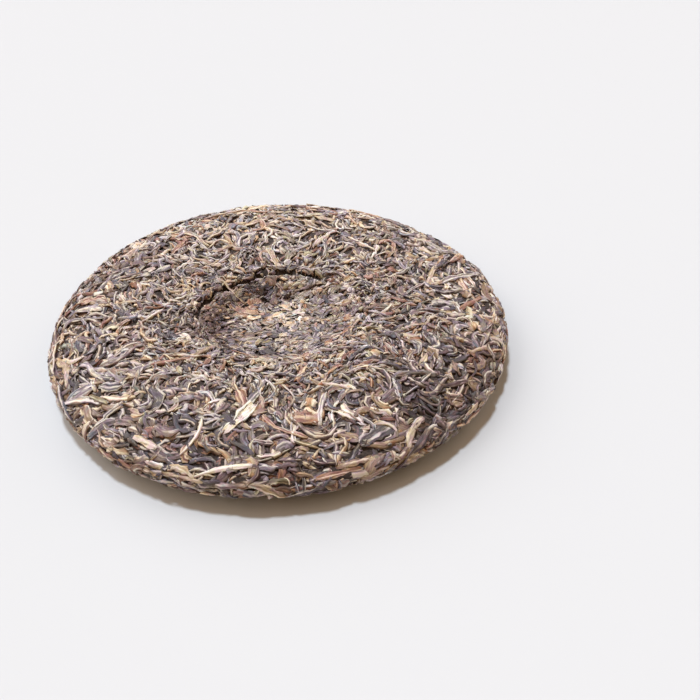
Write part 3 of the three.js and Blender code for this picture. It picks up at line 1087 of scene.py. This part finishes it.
def leaf_material(name, kind, mid):
    """Dry leaf, streaked along its length and faintly glossy; its tone brings a painted highlight on its
    folds and painted shade in the gaps.
    """
    material, tree, shader = new_material(name)
    streaks = leaf_noise(tree, STREAK_SCALE, 5.0)
    stains = leaf_noise(tree, STAIN_SCALE, 2.0)
    tone = add_node(tree, "Attribute", {}, attribute_name="tone")["Fac"]
    mixed = multiply_add(tree, streaks, STREAKS, tone)
    colors = ((RAMP_START, kind.dark), (RAMP_MIDDLE, mid), (1.0, kind.light))
    inputs = {
        "Factor": multiply_add(tree, mixed, *STAIN_FADE, clamped=True),
        "A": color_ramp(tree, mixed, colors),
        "B": color_ramp(tree, stains, STAINS),
    }
    feed(tree, shader, {
        "Base Color": add_node(tree, "Mix", inputs, data_type="RGBA", blend_type="MULTIPLY")["Result"],
        "Normal": bumps(tree, streaks, 0.9, 0.5 * MM),
        "Roughness": kind.roughness,
        "Specular IOR Level": SPECULAR,
    })
    return material


def core_material():
    """The layer deep between the leaves, almost black: its colour is painted shade in the gaps."""
    material, tree, shader = new_material("core_painted_shade")
    place = add_node(tree, "TexCoord", {})["Object"]
    speckle = add_node(tree, "TexNoise", {"Vector": place, "Scale": 900.0, "Detail": 3.0})["Fac"]
    feed(tree, shader, {
        "Base Color": color_ramp(tree, speckle, ((0.3, (0.022, 0.015, 0.013)), (0.8, (0.090, 0.064, 0.053)))),
        "Normal": bumps(tree, speckle, 1.0, 0.6 * MM),
        "Roughness": 0.9,
    })
    return material


def place_on_cake(piece):
    """Gives a finished piece its body and its place in the model."""
    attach(piece, BODY)
    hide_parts(NODE)


class TEA_OT_core(bpy.types.Operator):
    """Makes the dark core that shows deep between the leaves, its near-black colour painted shade"""
    bl_idname = "tea.core"
    bl_label = "Core"

    SINK = 1.3  # how far it lies below the pressed surface, in millimetres
    ROUGHNESS = 0.25  # how far its points stray, in millimetres
    SECTORS = 200
    RINGS = 130
    FIRST_RING = 0.1  # the radius of the ring that it grows from
    LEAST_RING = 0.2
    LOWEST = 0.2  # how near the table its points may come
    BACK_FROM = 1 / 3  # the back face starts at this share of the crown's height
    AROUND = (0.97, 0.985, 1, 1.015)  # slits at these shares of the way out let it down too

    def execute(self, context):
        section = Section(cake())
        deselect()
        start = self.FIRST_RING * MM
        bpy.ops.mesh.primitive_circle_add(vertices=self.SECTORS, radius=start, fill_type="TRIFAN")
        core = context.object
        core.name = "pressed_core"
        bpy.ops.object.mode_set(mode="EDIT")
        radius, level, out, up = section.at(np.linspace(0, section.length, self.RINGS)[1:-1])
        radius, level = radius - out * self.SINK, level - up * self.SINK
        mesh = bmesh.from_edit_mesh(core.data)
        for edge in mesh.edges:
            edge.select = all(abs(point.co.length - start) < start / 10 for point in edge.verts)
        bmesh.update_edit_mesh(core.data)
        last_radius, last_level = self.FIRST_RING, 0.0
        for ring_radius, ring_level in zip(np.maximum(radius, self.LEAST_RING), level):
            grow = ring_radius / last_radius
            bpy.ops.mesh.extrude_region_move(
                TRANSFORM_OT_translate={"value": (0, 0, (ring_level - last_level) * MM)})
            bpy.ops.transform.resize(value=(grow, grow, 1), center_override=(0, 0, 0))
            last_radius, last_level = ring_radius, ring_level
        bpy.ops.mesh.merge(type="CENTER")
        finish_editing()
        self.press(core, section)
        core.data.shade_smooth()
        core.data.materials.append(core_material())
        place_on_cake(core)
        return {"FINISHED"}

    def press(self, core, section):
        """Moves the core's points to the cake's uneven form."""
        points = np.empty(len(core.data.vertices) * 3)
        core.data.vertices.foreach_get("co", points)
        points = points.reshape(-1, 3) / MM
        # The ring that it grew from still lies on the table, and belongs in the dimple
        first = (polar(points)[0] < 1.5 * self.FIRST_RING) & (points[:, 2] < self.SINK / 2)
        points[first, 2] = section.at(0)[1] - self.SINK
        points += self.ROUGHNESS * np.random.default_rng(heap().seed).normal(size=points.shape)
        back = points[:, 2] > self.BACK_FROM * cake().crown_height / MM
        out = polar(points)[0]
        steps = 3 * section.STEPS  # those of the dimple and the crown come first
        reach = np.interp(out, section.points[:steps, 0], section.along[:steps])
        uv = points[:, :2] * (reach / np.maximum(out, self.FIRST_RING))[:, None]
        slump = np.max([section.slump(uv * share) for share in self.AROUND], axis=0)
        points[:, 2] -= np.where(back & (out < section.points[steps, 0]), slump, 0)
        for face, wanted in (("back", back), ("front", ~back)):
            x, y = section.pressed(face, points[wanted, 0], points[wanted, 1])
            points[wanted, 0], points[wanted, 1] = x, y
        points[:, 2] = np.maximum(points[:, 2], self.LOWEST)
        core.data.vertices.foreach_set("co", (points * MM).ravel())
        core.data.update()


class TEA_OT_leaves(bpy.types.Operator):
    """Lays and presses the leaves on both faces, and joins each kind into one piece"""
    bl_idname = "tea.leaves"
    bl_label = "Leaves"

    def execute(self, context):
        section = Section(cake())
        random = np.random.default_rng(heap().seed)
        masters = {name: model_master(name, shape) for name, shape in SHAPES.items()}
        layers = []
        for face, count in (("back", heap().back_count), ("front", heap().front_count)):
            layer = Layer(Bed(face, section), random)
            layer.fill(count)
            layers.append(layer)
        for kind_name, kind in KINDS.items():
            growth = Growth()
            for layer in layers:
                for shape_name in SHAPES:
                    wrap(layer, shape_name, kind_name, masters[shape_name], growth, random)
            piece = growth.join(kind_name)
            mid = getattr(context.scene.tea_colors, kind_name)
            piece.data.materials.append(leaf_material(kind_name, kind, mid))
            place_on_cake(piece)
            triangles = len(piece.data.loops) - 2 * len(piece.data.polygons)
            print(kind_name, growth.leaves, "leaves", triangles, "triangles")
        return {"FINISHED"}


# The camera, fitted to the outline of the cake in the photograph
PICTURE = 700
FOCAL_PIXELS = 860.0
SENSOR = 36.0
CAMERA_DISTANCE = 0.392
CAMERA_ELEVATION = math.radians(38.5)
CAKE_PIXEL = (283.3, 335.5)  # where the origin shows, which lies under the cake's middle
CAMERA_ROLL = math.radians(4.66)

DAYLIGHT = (0.912, 1.003, 1.125)
SIDE_LIGHT = (1.030, 0.965, 0.890)
FLOOR_SIZE = 20.0


class Lamp(NamedTuple):
    """A far light: where it comes from, how strong it is, how wide it looks in degrees, and its colour."""
    come_from: tuple
    strength: float
    width: float
    color: tuple


LAMPS = {
    "key": Lamp((-0.10, 0.19, 1.0), 2.1, 8, DAYLIGHT),
    "back_window": Lamp((-0.45, 0.85, 0.85), 1.25, 60, DAYLIGHT),
    "left_window": Lamp((-1.0, 0.10, 0.50), 1.15, 70, SIDE_LIGHT),
    "right_window": Lamp((1.0, 0.35, 0.50), 0.62, 60, SIDE_LIGHT),
}


class TEA_OT_stage(bpy.types.Operator):
    """Makes the pale floor, the light and the camera"""
    bl_idname = "tea.stage"
    bl_label = "Stage"

    def execute(self, context):
        self.floor(context.scene.tea_stage)
        self.light(context.scene)
        self.camera(context.scene)
        return {"FINISHED"}

    def floor(self, stage):
        deselect()
        bpy.ops.mesh.primitive_plane_add(size=FLOOR_SIZE)
        floor = bpy.context.object
        floor.name = "floor"
        material, tree, shader = new_material("pale_floor")
        pale = (*stage.floor_color, 1)
        feed(tree, shader, {"Base Color": pale, "Roughness": 0.9, "Specular IOR Level": 0.1})
        floor.data.materials.append(material)

    def light(self, scene):
        for name, lamp in LAMPS.items():
            data = bpy.data.lights.new(name, "SUN")
            data.energy = lamp.strength
            data.angle = math.radians(lamp.width)
            data.color = lamp.color
            sun = bpy.data.objects.new(name, data)
            sun.rotation_euler = Vector(lamp.come_from).to_track_quat("Z", "Y").to_euler()
            scene.collection.objects.link(sun)
        scene.world = self.studio(scene.tea_stage)
        scene.view_settings.view_transform = "Standard"
        scene.view_settings.look = "None"

    def studio(self, stage):
        """A warm room that fills the shadows. Behind the floor a pale backdrop shows in its place."""
        world = bpy.data.worlds.new("studio")
        world.use_nodes = True
        tree = world.node_tree
        room = tree.nodes["Background"]
        feed(tree, room, {"Color": (*stage.room_color, 1), "Strength": stage.room_strength})
        backdrop = add_node(tree, "Background", {"Color": (*stage.backdrop_color, 1)})["Background"]
        seen = add_node(tree, "LightPath", {})["Is Camera Ray"]
        shown = add_node(tree, "MixShader", {"Fac": seen, 1: room.outputs["Background"], 2: backdrop})
        feed(tree, tree.nodes["World Output"], {"Surface": shown["Shader"]})
        return world

    def camera(self, scene):
        """Places the fitted camera, which sees the origin at its pixel."""
        away = Vector((0, -math.cos(CAMERA_ELEVATION), math.sin(CAMERA_ELEVATION)))
        ahead = -away
        right = ahead.cross(Vector((0, 0, 1))).normalized()
        up = right.cross(ahead)
        aside, below = CAKE_PIXEL[0] - PICTURE / 2, CAKE_PIXEL[1] - PICTURE / 2
        pan = Matrix.Rotation(math.atan2(aside, FOCAL_PIXELS), 3, up)
        ahead, right = pan @ ahead, pan @ right
        nod = Matrix.Rotation(math.atan2(below, math.hypot(FOCAL_PIXELS, aside)), 3, right)
        ahead, up = nod @ ahead, nod @ up
        roll = Matrix.Rotation(CAMERA_ROLL, 3, ahead)
        right, up = roll @ right, roll @ up
        data = bpy.data.cameras.new("camera")
        data.sensor_width = SENSOR
        data.lens = FOCAL_PIXELS / PICTURE * SENSOR
        data.clip_start = 0.01
        camera = bpy.data.objects.new("camera", data)
        facing = Matrix((right, up, -ahead)).transposed()
        camera.matrix_world = Matrix.Translation(away * CAMERA_DISTANCE) @ facing.to_4x4()
        scene.collection.objects.link(camera)
        scene.camera = camera


class TEA_PT_panel(bpy.types.Panel):
    """Lists the tea cake's sizes and the steps that make it."""
    bl_idname = "TEA_PT_panel"
    bl_label = "Tea cake"
    bl_space_type = "VIEW_3D"
    bl_region_type = "UI"
    bl_category = "Tea cake"

    def draw(self, context):
        for place, group in GROUPS.items():
            box = self.layout.box()
            for name in group.__annotations__:
                box.prop(getattr(context.scene, place), name)
        for operator in OPERATORS:
            self.layout.operator(operator.bl_idname)


GROUPS = {
    "tea_cake": TeaCakeForm,
    "tea_leaves": TeaCakeLeaves,
    "tea_colors": TeaCakeColors,
    "tea_stage": TeaCakeStage,
}
OPERATORS = (TEA_OT_core, TEA_OT_leaves, TEA_OT_stage)
CLASSES = (*GROUPS.values(), *OPERATORS, TEA_PT_panel)


def register():
    for item in CLASSES:
        bpy.utils.register_class(item)
    for place, group in GROUPS.items():
        setattr(bpy.types.Scene, place, bpy.props.PointerProperty(type=group))


def unregister():
    for place in GROUPS:
        delattr(bpy.types.Scene, place)
    for item in reversed(CLASSES):
        bpy.utils.unregister_class(item)


def main():
    register()
    bpy.ops.tea.core()
    bpy.ops.tea.leaves()
    bpy.ops.tea.stage()


if __name__ == "__main__":
    main()
